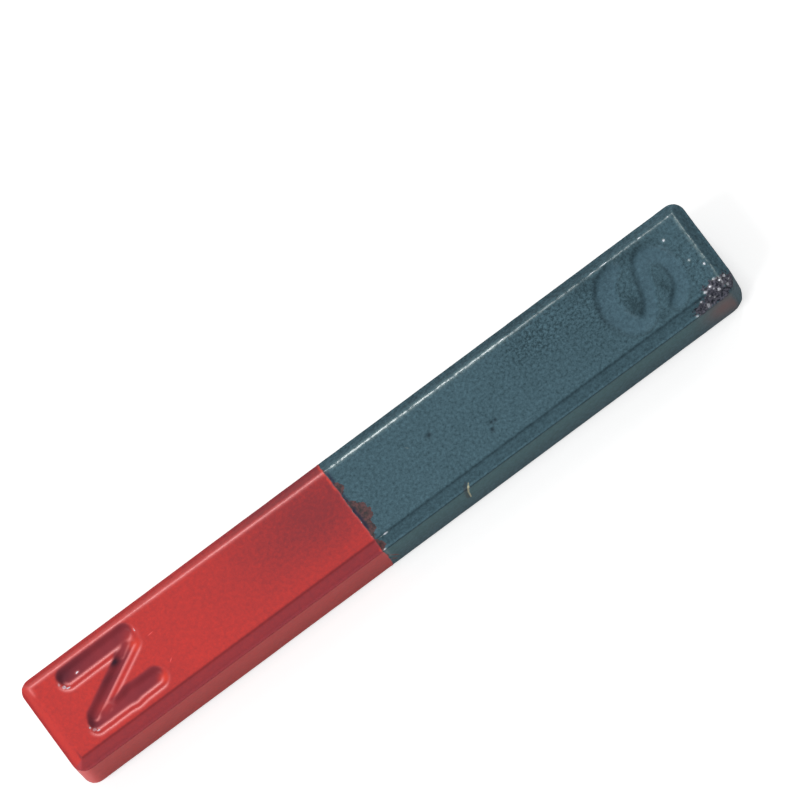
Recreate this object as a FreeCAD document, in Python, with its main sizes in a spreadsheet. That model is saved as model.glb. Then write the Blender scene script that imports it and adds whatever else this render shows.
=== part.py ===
"""Bar magnet of pressed and sintered ferrite, one solid piece.

X runs along the bar towards its south end, Y across it and Z up, the way the press closes.
The origin is the middle of the underside. Sizes are in millimetres.

The die forms the upright band round the bar, with its rounded corners. An upper and a lower punch
form the two broad faces, each with a sloping border on all four sides. A punch has a narrow flat
rim, because a sharp one would break, so a level land runs between the border and the band.
"""

import os

import FreeCAD
import Part
import Sketcher

# Driving dimensions: name, value and what it measures.
DIMENSIONS = (
    ("bar_length", 58.0, "overall length, from pole face to pole face"),
    ("bar_width", 8.0, "overall width"),
    ("bar_height", 6.0, "overall height, between the two broad faces"),
    ("die_corner_radius", 1.0, "radius of the bar's upright corners"),
    ("bevel_run", 0.65, "width of the sloping border, seen from above"),
    ("bevel_drop", 0.7, "height of the sloping border"),
    ("land_width", 0.2, "width of the level land left by a punch's rim"),
    ("face_edge_radius", 0.1, "rounding round a broad face and down its mitred corners"),
)

# The borders of a broad face: name, plane of the section, size that the section stands at the end
# of, size that it runs along, and plane that mirrors it to the bar's other side.
BORDERS = (
    ("side_border", "YZ_Plane", "dimensions.bar_width", "dimensions.bar_length", "XZ_Plane"),
    ("end_border", "XZ_Plane", "dimensions.bar_length", "dimensions.bar_width", "YZ_Plane"),
)

SHEET = "dimensions"
NODE = "ferrite_bar"

# Tolerance when an edge is picked by where it lies.
SAME_PLACE = 1e-5

# Sketcher's numbers for the points of a curve. Curve -1 is the X axis, which starts at the origin.
START_POINT, END_POINT, CENTRE_POINT = range(1, 4)
ORIGIN = (-1, START_POINT)


def add_dimensions(doc):
    """The sheet of driving dimensions, each cell with an alias."""
    sheet = doc.addObject("Spreadsheet::Sheet", SHEET)
    for row, (name, value, meaning) in enumerate(DIMENSIONS, start=1):
        sheet.set(f"A{row}", name)
        sheet.set(f"B{row}", str(value))
        sheet.set(f"C{row}", meaning)
        sheet.setAlias(f"B{row}", name)
    doc.recompute()


def origin_plane(body, role):
    """One of the body's own origin planes."""
    return next(plane for plane in body.Origin.OriginFeatures if plane.Role == role)


def new_sketch(body, name, role):
    """An empty sketch on one of the body's origin planes."""
    sketch = body.newObject("Sketcher::SketchObject", name)
    sketch.AttachmentSupport = (origin_plane(body, role), [""])
    sketch.MapMode = "FlatFace"
    return sketch


def add_line(sketch, start, end):
    """A straight line between two points of the sketch."""
    segment = Part.LineSegment(FreeCAD.Vector(*start, 0), FreeCAD.Vector(*end, 0))
    return sketch.addGeometry(segment, False)


def constrain(sketch, kind, *arguments):
    """Adds a constraint and returns its number."""
    return sketch.addConstraint(Sketcher.Constraint(kind, *arguments))


def bind(sketch, label, to, kind, *arguments):
    """Adds a named size that follows an expression of the sheet."""
    number = constrain(sketch, kind, *arguments, sketch.evalExpression(to))
    sketch.renameConstraint(number, label)
    sketch.setExpression(f"Constraints.{label}", to)


def following(items):
    """The same items, each moved up by one place, with the first at the end."""
    return items[1:] + items[:1]


def draw_die_outline(sketch):
    """The outline of the die's cavity: a rectangle about the origin with rounded corners."""
    length = "dimensions.bar_length"
    width = "dimensions.bar_width"
    radius = "dimensions.die_corner_radius"
    reach_x = sketch.evalExpression(length) / 2
    reach_y = sketch.evalExpression(width) / 2
    corner = sketch.evalExpression(radius)
    flat_x = reach_x - corner
    flat_y = reach_y - corner
    bottom = add_line(sketch, (-flat_x, -reach_y), (flat_x, -reach_y))
    right = add_line(sketch, (reach_x, -flat_y), (reach_x, flat_y))
    top = add_line(sketch, (flat_x, reach_y), (-flat_x, reach_y))
    left = add_line(sketch, (-reach_x, flat_y), (-reach_x, -flat_y))
    lines = [bottom, right, top, left]

    quarter = FreeCAD.Units.Quantity("90 deg").getValueAs("rad").Value
    up = FreeCAD.Vector(0, 0, 1)
    centres = ((flat_x, -flat_y), (flat_x, flat_y), (-flat_x, flat_y), (-flat_x, -flat_y))
    arcs = []
    for number, centre in enumerate(centres):
        circle = Part.Circle(FreeCAD.Vector(*centre, 0), up, corner)
        arc = Part.ArcOfCircle(circle, (number - 1) * quarter, number * quarter)
        arcs.append(sketch.addGeometry(arc, False))

    for line, arc, next_line in zip(lines, arcs, following(lines)):
        constrain(sketch, "Tangent", line, END_POINT, arc, START_POINT)
        constrain(sketch, "Tangent", arc, END_POINT, next_line, START_POINT)
    for arc in arcs[1:]:
        constrain(sketch, "Equal", arcs[0], arc)
    for line in (bottom, top):
        constrain(sketch, "Horizontal", line)
    for line in (right, left):
        constrain(sketch, "Vertical", line)
    opposite_centres = (arcs[0], CENTRE_POINT, arcs[2], CENTRE_POINT)
    constrain(sketch, "Symmetric", *opposite_centres, *ORIGIN)
    bind(sketch, "length", length, "DistanceX", left, START_POINT, right, START_POINT)
    bind(sketch, "width", width, "DistanceY", bottom, START_POINT, top, START_POINT)
    bind(sketch, "corner_radius", radius, "Radius", arcs[0])


def draw_border_section(sketch, across):
    """The section of the room that a border leaves beside a broad face: over its slope and land.

    It stands at the upper end of the size across, and its level top and its upright outer side
    lie clear of the bar.
    """
    half_across = f"{across} / 2"
    half_height = "dimensions.bar_height / 2"
    land = "dimensions.land_width"
    run = "dimensions.bevel_run"
    drop = "dimensions.bevel_drop"
    foot_reach = f"{half_across} - {land}"
    foot_level = f"{half_height} - {drop}"
    clear_beside = f"{land} + {run}"

    foot = (sketch.evalExpression(foot_reach), sketch.evalExpression(foot_level))
    crown = (foot[0] - sketch.evalExpression(run), foot[1] + sketch.evalExpression(drop))
    above = (crown[0], crown[1] + sketch.evalExpression(drop))
    beside = (foot[0] + sketch.evalExpression(clear_beside), foot[1])
    outside = (beside[0], above[1])
    corners = [foot, beside, outside, above, crown]
    lines = [add_line(sketch, start, end) for start, end in zip(corners, following(corners))]
    land_line, outer_line, top_line, inner_line, slope_line = lines

    for line, next_line in zip(lines, following(lines)):
        constrain(sketch, "Coincident", line, END_POINT, next_line, START_POINT)
    for line in (land_line, top_line):
        constrain(sketch, "Horizontal", line)
    for line in (outer_line, inner_line):
        constrain(sketch, "Vertical", line)
    from_origin = (*ORIGIN, land_line, START_POINT)
    bind(sketch, "foot_reach", foot_reach, "DistanceX", *from_origin)
    bind(sketch, "foot_level", foot_level, "DistanceY", *from_origin)
    bind(sketch, "run", run, "DistanceX", slope_line, START_POINT, slope_line, END_POINT)
    bind(sketch, "drop", drop, "DistanceY", slope_line, END_POINT, slope_line, START_POINT)
    bind(sketch, "clear_above", drop, "DistanceY", inner_line, END_POINT, inner_line, START_POINT)
    bind(sketch, "clear_beside", clear_beside, "DistanceX", land_line, START_POINT, land_line, END_POINT)


def build_column(body):
    """The column that the die encloses, from one broad face to the other."""
    outline = new_sketch(body, "die_outline", "XY_Plane")
    draw_die_outline(outline)
    column = body.newObject("PartDesign::Pad", "die_column")
    column.Profile = outline
    column.SideType = "Symmetric"
    column.setExpression("Length", "dimensions.bar_height")
    body.Document.recompute()


def cut_borders(body, name, section_plane, across, along, side_plane):
    """One border of the upper face, mirrored to the face's other side and to the lower face."""
    section = new_sketch(body, f"{name}_section", section_plane)
    draw_border_section(section, across)
    border = body.newObject("PartDesign::Pocket", name)
    border.Profile = section
    border.SideType = "Symmetric"
    border.setExpression("Length", f"2 * {along}")
    body.Document.recompute()

    all_borders = body.newObject("PartDesign::MultiTransform", f"{name}s")
    all_borders.Originals = [border]
    mirrors = []
    for plane in (side_plane, "XY_Plane"):
        mirror = body.newObject("PartDesign::Mirrored", f"{name}_mirror")
        mirror.MirrorPlane = (origin_plane(body, plane), [""])
        mirrors.append(mirror)
    all_borders.Transformations = mirrors
    body.Tip = all_borders
    body.Document.recompute()


def is_face_edge(edge, half_height):
    """True for an edge between a broad face and its border."""
    box = edge.BoundBox
    return box.ZLength < SAME_PLACE and abs(abs(box.Center.z) - half_height) < SAME_PLACE


def is_mitre(edge):
    """True for the sloping edge where two borders meet at a corner."""
    box = edge.BoundBox
    straight = edge.Curve.TypeId == "Part::GeomLine"
    return straight and min(box.XLength, box.YLength, box.ZLength) > SAME_PLACE


def round_face_edges(body):
    """The small roundings that tumbling leaves on the broad faces' edges and mitred corners."""
    borders = body.Tip
    half_height = body.Document.getObject(SHEET).bar_height / 2
    edges = []
    for number, edge in enumerate(borders.Shape.Edges, start=1):
        if is_face_edge(edge, half_height) or is_mitre(edge):
            edges.append(f"Edge{number}")
    rounding = body.newObject("PartDesign::Fillet", "face_edge_rounding")
    rounding.Base = (borders, edges)
    rounding.setExpression("Radius", "dimensions.face_edge_radius")
    body.Tip = rounding
    body.Document.recompute()


def build_bar(doc):
    """The whole magnet, raised so that its lower face lies on the origin's level."""
    body = doc.addObject("PartDesign::Body", NODE)
    body.Label = NODE
    build_column(body)
    for border in BORDERS:
        cut_borders(body, *border)
    round_face_edges(body)
    body.setExpression(".Placement.Base.z", "dimensions.bar_height / 2")
    doc.recompute()
    return body


def check(doc):
    """Stops if any object failed to build."""
    for item in doc.Objects:
        if any(word in item.State for word in ("Invalid", "Error")):
            raise RuntimeError(f"{item.Name} failed: {item.State}")


def export(body):
    """Writes the piece to the folder parts, in a file named after its label."""
    shape = body.Shape
    if shape.isNull() or not shape.isValid() or len(shape.Solids) != 1:
        raise RuntimeError(f"{body.Label} isn't one valid solid")
    os.makedirs("parts", exist_ok=True)
    shape.exportStep(os.path.join("parts", f"{body.Label}.step"))
    print(f"{body.Label}: {shape.Volume:.1f} mm3")


def main():
    doc = FreeCAD.newDocument("bar_magnet")
    add_dimensions(doc)
    body = build_bar(doc)
    check(doc)
    export(body)


main()
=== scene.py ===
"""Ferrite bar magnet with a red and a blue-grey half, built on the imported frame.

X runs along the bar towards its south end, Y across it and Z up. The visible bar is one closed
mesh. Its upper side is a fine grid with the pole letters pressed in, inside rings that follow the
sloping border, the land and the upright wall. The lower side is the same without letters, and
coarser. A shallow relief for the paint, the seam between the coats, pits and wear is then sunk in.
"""

import math

import bpy
import numpy as np
from bpy.props import FloatProperty, FloatVectorProperty, PointerProperty
from bpy.types import NodeSocket, Operator, Panel, PropertyGroup
from mathutils import Matrix, Vector, noise


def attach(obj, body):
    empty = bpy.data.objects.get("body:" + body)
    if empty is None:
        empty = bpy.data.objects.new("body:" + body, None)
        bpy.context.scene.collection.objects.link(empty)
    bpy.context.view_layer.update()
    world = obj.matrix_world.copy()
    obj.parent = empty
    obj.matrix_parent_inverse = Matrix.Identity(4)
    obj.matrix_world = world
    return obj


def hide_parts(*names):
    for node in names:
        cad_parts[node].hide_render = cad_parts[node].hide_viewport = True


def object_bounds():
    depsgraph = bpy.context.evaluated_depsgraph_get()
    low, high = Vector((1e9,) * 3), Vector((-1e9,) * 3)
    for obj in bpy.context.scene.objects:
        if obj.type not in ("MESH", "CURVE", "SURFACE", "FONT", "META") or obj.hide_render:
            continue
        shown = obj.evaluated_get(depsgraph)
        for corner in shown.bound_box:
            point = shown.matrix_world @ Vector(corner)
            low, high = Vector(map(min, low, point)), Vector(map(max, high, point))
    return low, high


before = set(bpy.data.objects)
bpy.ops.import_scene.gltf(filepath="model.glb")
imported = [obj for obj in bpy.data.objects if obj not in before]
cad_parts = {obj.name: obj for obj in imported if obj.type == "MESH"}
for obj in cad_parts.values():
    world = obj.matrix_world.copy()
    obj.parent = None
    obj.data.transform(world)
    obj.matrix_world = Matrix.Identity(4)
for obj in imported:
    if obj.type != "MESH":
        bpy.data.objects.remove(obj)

bl_info = {
    "name": "Ferrite bar magnet",
    "version": (1, 0, 0),
    "blender": (4, 5, 0),
    "location": "3D View > Sidebar > Bar magnet",
    "description": "Builds a painted ferrite bar magnet and the studio round it",
    "category": "Add Mesh",
}

NODE = "ferrite_bar"
BODY = "root"

MM = 0.001
CAD_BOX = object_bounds()
BAR_SIZE = CAD_BOX[1] - CAD_BOX[0]
BAR_CENTRE = (CAD_BOX[0] + CAD_BOX[1]) / 2


def linear(red, green, blue):
    """The scene-linear colour of a display colour given in 256 steps."""
    shares = [value / 255 for value in (red, green, blue)]
    return tuple(s / 12.92 if s <= 0.04045 else ((s + 0.055) / 1.055) ** 2.4 for s in shares)


def length(name, default, description):
    """A length, with its default given in millimetres."""
    return FloatProperty(
        name=name, description=description, default=default * MM, min=0, precision=5, unit="LENGTH"
    )


def colour(name, default, description):
    """A colour, with its default given as a display colour."""
    return FloatVectorProperty(
        name=name, description=description, default=linear(*default), size=3, min=0, max=1, subtype="COLOR"
    )


def angle(name, default, description):
    """An angle, with its default given in degrees."""
    return FloatProperty(name=name, description=description, default=math.radians(default), subtype="ANGLE")


def factor(name, default, description, top=1.0):
    """A plain number from zero up."""
    return FloatProperty(name=name, description=description, default=default, min=0, max=top)


class BarShape(PropertyGroup):
    """Sizes of the pressed bar and of the paint on it."""

    corner_radius: length("Corner radius", 1.0, "Radius of the upright corners")
    worn_corner_radius: length("Worn corner radius", 1.45, "Radius of the worn corner at the south end")
    bevel_run: length("Border run", 0.65, "Width of the sloping border, seen from above")
    bevel_drop: length("Border drop", 0.7, "Height of the sloping border")
    land_width: length("Land width", 0.2, "Width of the level land at the border's foot")
    edge_ease: length("Face edge easing", 0.19, "Half the width of the rounding along the face's edge")
    foot_ease: length("Foot easing", 0.05, "Half the width of the fillet at the border's foot")
    mitre_ease: length("Mitre easing", 0.12, "Width of the rounding where two borders meet")
    rim_radius: length("Rim radius", 0.07, "Radius between the land and the upright wall")
    film: length("Paint film", 0.025, "Thickness of a coat of paint")


class PoleLetters(PropertyGroup):
    """Sizes of the letters pressed into the upper face."""

    north_wall: length("N wall", 0.58, "Width of the N's sloping groove walls")
    north_depth: length("N depth", 0.33, "Depth of the N's groove")
    south_wall: length("S wall", 0.5, "Width of the S's sloping groove walls")
    south_depth: length("S depth", 0.15, "Depth of the S's groove")


class CoatColours(PropertyGroup):
    """Colours of the two coats of paint and of the ferrite under them, and of the light and shade painted on
    them.
    """

    red: colour("Red", (203, 65, 61), "Red coat, where it is fresh")
    # Darker red, laid for tone that differs from place to place and as painted shade on the high side's
    # border by the seam.
    dull_and_shaded_red: colour("Dull red", (141, 58, 62), "Red coat, where it has dulled")
    # Painted shade and painted reflection on the border of the low side.
    low_side_shade_red: colour("Low side shade red", (138, 76, 90), "Red coat, on the border towards the low side")
    # Painted light: the red high on the low side's wall, at the north corner and along the glossy edges; also
    # the colour of the scratches.
    painted_light_and_scratch_red: colour("Light red", (238, 96, 94), "Red coat, high on the wall of the low side")
    # Painted highlight: the red on the seam's lip and at two of the N's stroke ends.
    painted_highlight_red: colour("Edge red", (220, 74, 60), "Red coat, where it is brightest")
    # Paint gathered in the letter, with painted shade on its walls that face from the light; also the coat's
    # specks.
    pooled_and_shaded_red: colour("Pooled red", (143, 57, 64), "Red coat on the floor of the letter")
    # Thickest paint with painted shade in the letter's deepest corners; also the darker edges.
    darkest_red: colour("Deep red", (66, 42, 54), "Red coat, where it lies thickest in the letter")
    blue: colour("Blue-grey", (82, 112, 124), "Blue-grey coat, where it is fresh")
    # Darker blue-grey, laid for tone that differs from place to place and as painted shade on the high side's
    # border.
    dull_and_shaded_blue: colour("Dull blue-grey", (46, 67, 75), "Blue-grey coat, where it has dulled")
    pale_blue: colour("Pale blue-grey", (78, 106, 121), "Blue-grey coat, where it lies thick in the letter")
    # Painted light: the blue-grey high on the low side's wall and along the glossy edges.
    painted_light_blue: colour("Light blue-grey", (92, 138, 138), "Blue-grey coat, high on the wall of the low side")
    # Painted shade in pits and on the S's walls turned from the light; also the coat's specks and darker
    # edges.
    darkest_blue: colour("Deep blue-grey", (30, 44, 52), "Blue-grey coat, in pits and along sharp edges")
    ferrite: colour("Ferrite", (103, 74, 75), "Bare sintered ferrite")
    # Bare ferrite in hollows; also the painted shadow beside the scratches.
    dark_ferrite_and_shadow: colour("Dark ferrite", (62, 58, 60), "Bare ferrite in its hollows")
    crushed_ferrite: colour("Crushed ferrite", (98, 98, 110), "Ferrite broken open at the worn corner")
    crushed_hollow: colour("Crushed hollow", (30, 36, 44), "The same, in its hollows")
    seam_shade: colour("Seam shade", (42, 44, 64), "Gap between the two coats")
    stain: colour("Stain", (126, 95, 94), "Rubbed wall under the worn corner")
    rust: colour("Rust", (126, 70, 62), "Bare ferrite in the scratches beside the seam")
    scratch: colour("Scratch", (190, 188, 158), "Bottom of a scratch")
    # Painted highlights, laid into the colour as pale specks.
    glint: colour("Glint", (226, 230, 242), "Bright specks of bare crystal and polished paint")


class Studio(PropertyGroup):
    """The camera and the lights."""

    tilt: angle("Tilt", 15.45, "How far the camera leans from straight above, towards -Y")
    roll: angle("Roll", 36.6, "How far the bar's length is turned from level in the picture")
    distance: length("Distance", 1000, "Distance from the camera to the bar")
    picture_width: length("Picture width", 56.5, "Width that the picture takes in at the bar")
    move_right: length("Move right", 1.16, "How far the camera stands to the right of the bar's middle")
    move_up: length("Move up", 6.63, "How far the camera stands above the bar's middle in the picture")
    main_power: factor("Main softbox", 2.05, "Power of the softbox beyond the north end, in watts", 50)
    rear_power: factor("Rear softbox", 1.0, "Power of the softbox behind the bar, in watts", 50)
    small_power: factor("Small lamp", 0.35, "Power of the small lamp behind the south end, in watts", 50)
    end_power: factor("End lamp", 0.2, "Power of the lamp beyond the south end, in watts", 50)
    ambient: factor("Light all round", 0.32, "Strength of the light from all round", 5)


class BarMagnet(PropertyGroup):
    """All settings of the magnet and its studio."""

    shape: PointerProperty(type=BarShape)
    letters: PointerProperty(type=PoleLetters)
    colours: PointerProperty(type=CoatColours)
    studio: PointerProperty(type=Studio)


# The places below are in millimetres.

# The N's strokes: place and half width of the groove at both ends of each.
NORTH_STROKES = (
    ((-25.6, 2.15, 0.92), (-20.55, 2.2, 0.92)),
    ((-25.6, -1.35, 0.7), (-20.5, 1.4, 0.7)),
    ((-25.8, -1.9, 0.76), (-22.6, -1.75, 0.92)),
    ((-22.6, -1.75, 0.92), (-20.5, -1.72, 0.9)),
    ((-21.55, 1.15, 0.72), (-20.95, 1.7, 0.85)),
    ((-24.9, -1.55, 0.95), (-24.5, -1.38, 0.82)),
)
NORTH_EASE = 0.3

# Places and half widths along the S's single stroke.
SOUTH_POINTS = (
    (22.4, 2.35, 0.7), (21.3, 1.75, 0.9), (20.65, 0.4, 0.98), (20.75, -1.0, 0.95), (21.6, -2.1, 0.8),
    (22.7, -1.75, 0.72), (23.48, -0.4, 0.7), (23.9, 0.95, 0.75), (24.65, 1.75, 0.88), (25.6, 1.2, 0.8),
    (25.94, -0.14, 0.77), (25.65, -1.5, 0.75), (24.7, -2.35, 0.7),
)
SOUTH_EASE = 0.03
SOUTH_STEPS = 6

# Where the sloping border narrows, across the bar and along it, and by which shares of its width.
NARROWING_ACROSS = (0.5, 3.0)
NARROWING_ALONG = (-2, -28)
NARROWING_SHARES = (0.04, 0.34)

# Where the two coats meet, how far the seam slants over the bar's width, and how far it wanders: the
# wavelength, height and seed of each wave.
SEAM_X = -2.42
SEAM_SLANT = 0.1
SEAM_WAVES = ((2.2, 0.07, 1), (0.5, 0.05, 2), (0.17, 0.03, 3))
SEAM_REACH = 0.9

# How far the blue-grey coat has drawn back from the seam, as places across the bar and widths.
BARE_WIDTHS = (
    (-4.0, 0.05), (-3.8, 0.38), (-3.5, 0.42), (-3.3, 0.25), (-3.1, 0.08), (-2.7, 0.25), (-2.4, 0.72),
    (-2.1, 0.6), (-1.8, 0.7), (-1.5, 0.95), (-1.1, 1.1), (-0.7, 1.0), (-0.3, 0.8), (0.1, 0.5),
    (0.4, 0.12), (0.9, 0.05), (1.15, 0.3), (1.4, 0.48), (1.8, 0.42), (2.1, 0.1), (2.4, 0.03),
)
HIDDEN_BARE_WIDTH = 0.1
BARE_EASE = 0.25
BARE_WAVES = ((0.4, 0.12, 11), (0.15, 0.07, 12))

# Stretches across the bar, each from a place to a place with an amount: where the seam's gap is dark,
# where a painted highlight lies on its lip, and where the red coat ends thick, with painted light along it.
SHADED_STRETCHES = ((-2.3, -0.2, 0.9), (0.0, 1.2, 0.6), (1.8, 3.1, 0.8))
SHINING_STRETCHES = ((-1.7, -0.2, 0.6), (0.35, 1.1, 0.45), (-2.4, -1.8, 0.4))
LIT_LIP_STRETCHES = ((1.35, 3.9, 0.8), (-3.95, -3.6, 0.8))
STRETCH_EASE = 0.2

# Bands of differing paint and of painted highlight, each as its middle and reach. At the seam they are
# measured from it, along the broad face's edge from the border's crown, and on the land from the wall.
SEAM_GAP = (0.13, 0.12)
LIP_HEIGHT = (-0.07, 0.07)
LIP_GLOSS = (-0.04, 0.06)
LIP_SHINE = (-0.01, 0.045)
LIP_LIT = (-0.1, 0.08)
CROWN_DARKENING = (0, 0.1)
CROWN_GLOSS = (0.1, 0.16)
END_GLOSS = (0.1, 0.12)
RED_LAND = (0.1, 0.14)
BLUE_LAND = (0.02, 0.05)

# Amounts of darker edge, of glossiness with its painted highlight, of the S's painted outline shade and of
# gathered paint with its painted shade, where there is least of them, or at both ends of their range, and
# how far in from the sides the glossy band at the south end starts.
DARKENING_ON_HIGH_SIDE = 0.12
DARKENING_ON_RED_LAND = 0.6
GLOSS_PAST_FADING = 0.35
RED_GLOSS_IN_BREAKS = 0.75
BLUE_GLOSS_IN_BREAKS = 0.15
END_GLOSS_RANGE = (0.08, 0.68)
END_GLOSS_INSET = 0.6
LIP_GLOSS_AMOUNT = 0.25
GLOSS_AT_NORTH_ENDS = 0.25
OUTLINE_AMOUNT = 0.5
PLAIN_POOL = 0.12

# Bands on the walls of the letters' grooves, as shares of the wall from its head to its foot.
NORTH_HEAD = (0.06, 0.2)
NORTH_FOOT = (0.92, 0.2)
SOUTH_SHADE = (0.3, 0.35)
SOUTH_OUTLINE = (0.04, 0.14)

# Where masks set in, as the place that has none and the place that has all: places across the bar or
# along it, and heights.
LOW_SIDE = (-2.2, -3.2)
HIGH_SIDE = (2.2, 3.2)
LOW_WALL = (-3.85, -3.95)
WALL_TOP = (2.28, 2.2)
CORNER_TOP = (2.35, 2.2)
WALL_LIGHT = (-2.6, 2.0)
LAND_LEVEL = (2.0, 2.2)
WORN_LEVEL = (1.7, 2.3)
GLOSS_FADING = (12.5, 15.5)
NORTH_ENDS = (-19.9, -20.4)

# The same, measured from the border's crown, inwards from a letter's edge, and as how much further
# inside the letter a step aside leads.
LOW_BORDER_SHADE = (-0.02, -0.14)
POOL_EDGE = (0.12, 0.4)
END_LIGHT = (0, 0.2)
FACING_LOW_SIDE = (-0.033, 0.078)
FACING_SHADE = (0, 0.2)

# How far the gathered paint and its painted shade lie aside from the N, towards the high side where its
# walls face from the light, and the steps aside that tell where a wall faces.
POOL_SHIFT = (-0.05, 0.3)
NORTH_STEP = (0, 0.1)
SOUTH_STEP = (0.12, -0.12)

# Unevenness, as the seam's waves: of pools, of breaks and patches in the glossiness and painted highlights,
# and of the surface's height.
# A level is added to the waves where they don't swing about zero.
POOL_WAVES = ((0.8, 0.14, 31),)
BREAK_LEVEL = 0.75
BREAK_WAVES = ((0.25, 1.1, 32),)
PATCH_LEVEL = 0.62
PATCH_WAVES = ((0.45, 0.9, 33), (0.16, 0.9, 34))
RED_PEEL = ((1.3, 0.006, 21), (4.5, 0.008, 22))
BLUE_GRAIN = ((0.3, 0.0045, 23), (0.9, 0.006, 24))
LIP_LEVEL = 0.7
LIP_WAVES = ((0.4, 0.6, 25),)
BARE_RELIEF = ((0.35, 0.4, 26),)
CHIP_LEVEL = 0.05
CHIP_WAVES = ((0.35, 0.07, 27), (0.16, 0.05, 28))

# How much sooner than their masks the chips and the pits reach their full depth.
CHIP_STEEPNESS = 1.6
PIT_STEEPNESS = 1.3

# Pits in the upper face: place, radius and depth.
PITS = (
    (5.05, 0.67, 0.16, 0.08), (9.12, -1.26, 0.13, 0.07), (9.45, -1.3, 0.13, 0.07), (8.88, -1.77, 0.14, 0.07),
)

# Pimples of paint on the upper face, in the same way, with a depth below zero.
PIMPLES = ((26.5, 1.84, 0.12, -0.03), (27.1, -0.44, 0.11, -0.03), (27.8, -1.28, 0.11, -0.03))

# Painted highlights as pale specks, seen from above: place, reach both ways and amount.
PAINTED_GLINTS = (
    (26.5, 1.84, 0.1, 0.1, 1.0), (27.1, -0.44, 0.095, 0.095, 1.0), (27.8, -1.28, 0.095, 0.095, 1.0),
    (26.63, -2.99, 0.14, 0.13, 1.0), (27.67, -2.55, 0.14, 0.11, 1.0), (27.96, -2.85, 0.1, 0.12, 1.0),
    (27.15, -2.85, 0.13, 0.1, 1.0), (28.45, -2.73, 0.12, 0.12, 1.0), (27.56, -3.38, 0.14, 0.11, 1.0),
    (26.29, -3.76, 0.16, 0.11, 1.0), (26.0, -3.38, 0.1, 0.08, 0.9), (28.3, -3.4, 0.13, 0.12, 1.0),
    (25.2, -3.85, 0.11, 0.08, 0.9), (27.0, -3.6, 0.09, 0.08, 0.9), (28.05, -3.15, 0.09, 0.08, 0.9),
    (27.3, -3.15, 0.08, 0.09, 0.9), (26.75, -3.4, 0.09, 0.07, 0.9), (28.6, -3.1, 0.08, 0.09, 0.9),
    (-1.52, -3.19, 0.22, 0.06, 1.0), (-2.22, -3.93, 0.14, 0.07, 0.9), (-24.84, 2.16, 0.15, 0.08, 1.0),
    (-26.36, 2.12, 0.1, 0.24, 0.75), (-26.2, 1.78, 0.17, 0.17, 0.95), (-25.98, 1.57, 0.22, 0.12, 0.8),
    (-26.38, -1.7, 0.09, 0.22, 0.7), (-26.22, -2.0, 0.16, 0.16, 0.85), (-26.0, -2.18, 0.2, 0.11, 0.7),
    (-19.84, 2.12, 0.08, 0.22, 0.65), (21.1, 3.1, 0.3, 0.05, 0.75), (22.1, 3.1, 0.35, 0.06, 0.8),
    (25.2, 3.1, 0.15, 0.06, 0.9), (27.7, 3.1, 0.08, 0.06, 0.75), (28.12, 1.0, 0.06, 0.1, 0.75),
    (13.2, 3.1, 0.2, 0.06, 0.9), (-1.9, -3.2, 0.3, 0.035, 0.6),
)

# Places where a coat is darker (above 0) or lighter (below 0): centre, reach both ways, and amount. Besides
# tone that differs from place to place, they hold painted shade and light on the borders: the red darker on
# the high side's border by the seam and lighter on the north end's border, the blue-grey darker on the high
# side's border and lighter on the low side's.
RED_DULL_AND_SHADE = (
    (-4.5, 1.2, 7.2, 3.7, 0.75), (-3.0, 3.7, 10.0, 0.5, 0.35), (-19.5, -2.2, 1.2, 1.2, 0.12),
    (-28.6, 0.0, 0.45, 5.0, -0.25),
)
BLUE_DULL_AND_SHADE = (
    (18.5, 0.6, 6.0, 4.5, 0.13), (14.2, 1.9, 1.9, 1.3, 0.15), (20.2, 2.6, 1.5, 0.7, 0.3),
    (22.15, -0.7, 0.45, 1.0, 0.45), (24.65, -0.9, 0.35, 0.9, 0.45), (24.2, 2.55, 1.7, 0.45, 0.4),
    (23.4, -2.6, 0.5, 0.4, 0.25), (22.1, -2.3, 0.5, 0.35, -0.2), (8.0, 3.75, 20.0, 0.4, 0.3),
    (10.0, -3.6, 22.0, 0.4, -0.2),
)
PLAIN_RED_DARKNESS, PLAIN_BLUE_DARKNESS = 0.2, 0.46

# Where the blue-grey coat is grainy, in the same way.
GRAINY = ((15.2, 1.9, 2.2, 1.3, 1.0), (19.5, 1.2, 3.0, 1.8, 0.45), (27.2, -1.0, 1.2, 2.0, 0.6))

# Where the N is darkest, with paint gathered deepest and painted shade in its corners (above 0), and where
# it is lighter (below 0), in the same way.
POOLS = (
    (-26.0, 2.45, 0.9, 0.6, 0.5), (-24.9, 2.75, 1.2, 0.4, 0.2), (-26.3, -1.3, 0.55, 0.8, 0.55),
    (-22.3, 1.1, 0.4, 0.3, 1.0), (-23.6, 0.35, 1.2, 0.35, 0.2), (-24.3, -1.65, 0.9, 0.45, -0.3),
    (-21.0, 1.5, 1.3, 0.6, -0.2),
)

# The worn corner and the rubbed wall under it, as soft areas: centre and reach both ways.
WORN_AREAS = (
    (27.7, -3.0, 1.35, 0.6), (28.5, -3.2, 0.7, 0.8), (27.2, -3.6, 1.8, 0.45), (25.9, -3.7, 0.9, 0.35),
)
RUBBED_AREAS = ((27.2, 0.4, 1.5, 2.2), (28.0, -0.4, 0.9, 1.8))

# The upright corner where painted light lies on the red coat, as a soft area too.
LIT_NORTH_CORNER = (-28.8, -3.8, 0.75, 0.85)

# Places in the N kept clear of the gathered paint and its painted shade, as centre, reach both ways and
# amount.
CLEAR_PLACES = ((-20.25, 1.35, 0.5, 0.75, 1.0), (-20.1, -2.05, 0.45, 0.45, 1.0), (-24.7, -1.1, 0.7, 0.4, 0.5))

# Ends of its strokes where painted highlight lies on the red, in the same way.
LIT_STROKE_ENDS = ((-20.4, 1.1, 0.4, 0.55, 0.8), (-20.05, -2.05, 0.35, 0.4, 0.8))

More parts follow.
